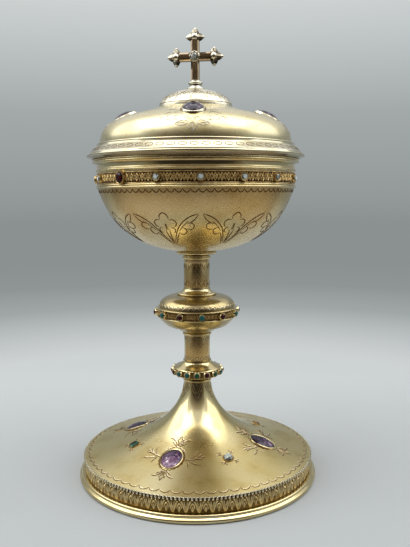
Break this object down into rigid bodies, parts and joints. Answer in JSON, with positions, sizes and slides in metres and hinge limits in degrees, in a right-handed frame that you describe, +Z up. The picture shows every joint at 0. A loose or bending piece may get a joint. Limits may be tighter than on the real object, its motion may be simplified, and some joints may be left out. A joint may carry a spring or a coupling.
{
  "type": "ciborium",
  "caption": "Footed covered cup for altar bread in engraved silver-gilt, with a knopped stem, stone-set bands and a loose domed lid under a cross.",
  "frame": {"origin": "centre of the face that the foot rests on", "axes": "+Z up along the stem, -Y towards the front"},
  "size_m": [0.14, 0.14, 0.2555],
  "materials": {
    "silver_gilt": "satin gilt",
    "bright_gilt": "polished gilt",
    "steel": "plain",
    "amethyst": "cut",
    "emerald": "cut",
    "rock_crystal": "cut",
    "citrine": "cut",
    "garnet": "domed",
    "turquoise": "domed"
  },
  "bodies": {
    "cup": {"foot_gallery": "silver_gilt", "foot_trumpet": "silver_gilt", "lower_stem": "silver_gilt", "knop_lower_shell": "silver_gilt", "knop_upper_shell": "silver_gilt", "upper_stem": "silver_gilt", "bowl_socket": "silver_gilt", "bowl_shell": "silver_gilt", "jewel_band": "silver_gilt", "collar_collets": "silver_gilt", "foot_ring": "bright_gilt", "foot_bead_wire": "bright_gilt", "foot_amethyst_collets": "bright_gilt", "foot_small_collets": "bright_gilt", "neck_ring": "bright_gilt", "jewel_collar": "bright_gilt", "knop_foot_ring": "bright_gilt", "knop_girdle": "bright_gilt", "knop_collets": "bright_gilt", "knop_collar": "bright_gilt", "bowl_seat": "bright_gilt", "band_lower_wire": "bright_gilt", "band_upper_wire": "bright_gilt", "bowl_lip": "bright_gilt", "band_collets": "bright_gilt", "tie_rod": "steel", "foot_washer": "steel", "foot_nut": "steel", "foot_amethysts": "amethyst", "foot_emerald": "emerald", "collar_emeralds": "emerald", "foot_crystal": "rock_crystal", "band_white_stones": "rock_crystal", "foot_citrine": "citrine", "foot_garnet": "garnet", "collar_garnets": "garnet", "knop_garnets": "garnet", "band_garnets": "garnet", "collar_turquoises": "turquoise", "knop_turquoises": "turquoise"},
    "flange": {"lid_flange": "silver_gilt"},
    "lid": {"lid_dome": "silver_gilt", "lid_cap": "silver_gilt", "cross": "silver_gilt", "lid_brim": "bright_gilt", "lid_amethyst_collets": "bright_gilt", "finial_base": "bright_gilt", "cross_buds": "bright_gilt", "cross_setting": "bright_gilt", "finial_stud": "steel", "finial_washer": "steel", "finial_nut": "steel", "lid_amethysts": "amethyst", "cross_stone": "rock_crystal"}
  },
  "joints": [
    {"name": "lid_lift", "type": "slide", "parent": "cup", "child": "flange", "axis": [0, 0, 1], "range_m": [0, 0.12]},
    {"name": "lid_turn", "type": "hinge", "parent": "flange", "child": "lid", "pos_m": [0, 0, 0.183], "axis": [0, 0, 1], "continuous": true}
  ]
}
